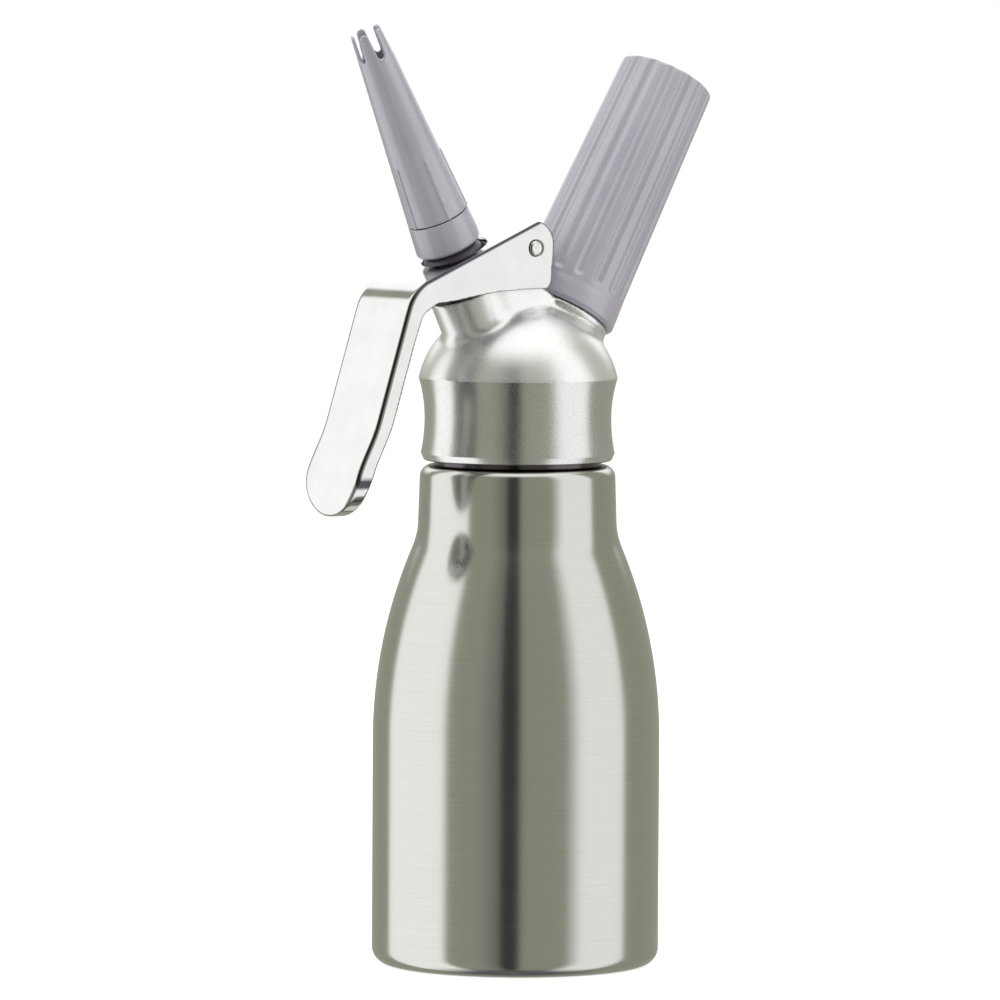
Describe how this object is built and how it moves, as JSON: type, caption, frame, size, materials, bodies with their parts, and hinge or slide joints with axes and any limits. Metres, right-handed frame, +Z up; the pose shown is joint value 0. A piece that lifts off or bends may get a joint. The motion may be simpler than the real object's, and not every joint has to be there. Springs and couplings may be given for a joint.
{
  "type": "whipped cream dispenser",
  "caption": "Steel whipping bottle with a cast screw-on head, squeeze lever, leaning cream valve with a toothed decorating tip, and a leaning gas charger holder.",
  "frame": {"origin": "the bottle's axis at the surface that it stands on", "axes": "+Z up the bottle's axis, -X toward the lever's handle and the cream tip, +X toward the gas charger"},
  "size_m": [0.1343, 0.084, 0.2749],
  "materials": {
    "steel": "brushed round the bottle",
    "cast_aluminium": "fine blasted satin",
    "chrome": "polished",
    "bright_steel": "turned bright",
    "liner_steel": "plain turned",
    "charger_steel": "drawn steel",
    "lilac_plastic": "satin moulded",
    "dark_plastic": "satin moulded",
    "brass": "turned",
    "silicone": "soft matt",
    "nylon": "matt",
    "dark_rubber": "matt"
  },
  "bodies": {
    "bottle": {"bottle": "steel"},
    "gasket": {"head_gasket": "silicone"},
    "head": {"head": "cast_aluminium", "lever_pin": "bright_steel", "pivot_spacers": "nylon", "valve_guide": "brass", "valve_spring": "bright_steel", "port_nipple": "brass", "piercing_pin": "bright_steel", "port_seal": "dark_rubber", "check_valve": "silicone"},
    "lever": {"lever": "chrome"},
    "stem": {"valve_stem": "bright_steel", "stem_rings": "dark_rubber", "valve_seal": "silicone", "seal_nut": "bright_steel", "stem_cup": "dark_plastic", "tip_adapter": "dark_plastic", "adapter_washer": "silicone"},
    "tip": {"decorating_tip": "lilac_plastic", "tip_collar": "lilac_plastic"},
    "charger": {"gas_charger": "charger_steel", "charger_foil": "brass"},
    "holder": {"charger_holder": "lilac_plastic", "holder_liner": "liner_steel"}
  },
  "joints": [
    {"name": "head_lift", "type": "slide", "parent": "bottle", "child": "gasket", "axis": [0, 0, 1], "range_m": [0, 0.004]},
    {"name": "head_turn", "type": "hinge", "parent": "gasket", "child": "head", "pos_m": [0, 0, 0.155], "axis": [0, 0, 1], "range_deg": [0, 360]},
    {"name": "lever_squeeze", "type": "hinge", "parent": "head", "child": "lever", "pos_m": [-0.0036, 0, 0.2101], "axis": [0, -1, 0], "range_deg": [0, 8], "stiffness_Nm_per_rad": 1.5, "springref_deg": -16.04},
    {"name": "valve_push", "type": "slide", "parent": "head", "child": "stem", "axis": [0.4337, 0, -0.9011], "range_m": [0, 0.00268], "deforming": ["valve_spring"]},
    {"name": "tip_turn", "type": "hinge", "parent": "stem", "child": "tip", "pos_m": [-0.0245, 0, 0.2094], "axis": [-0.4337, 0, 0.9011], "range_deg": [0, 360]},
    {"name": "charger_rise", "type": "slide", "parent": "head", "child": "charger", "axis": [0.4909, 0, 0.8712], "range_m": [0, 0.005]},
    {"name": "holder_turn", "type": "hinge", "parent": "charger", "child": "holder", "pos_m": [0.0152, 0, 0.1906], "axis": [0.4909, 0, 0.8712], "range_deg": [0, 720.01]}
  ],
  "couplings": [
    {"joint": "head_lift", "follows": "head_turn", "m_per_rad": 0.00063662},
    {"joint": "valve_push", "follows": "lever_squeeze", "m_per_rad": 0.01914},
    {"joint": "holder_turn", "follows": "charger_rise", "rad_per_m": 2513.3}
  ]
}
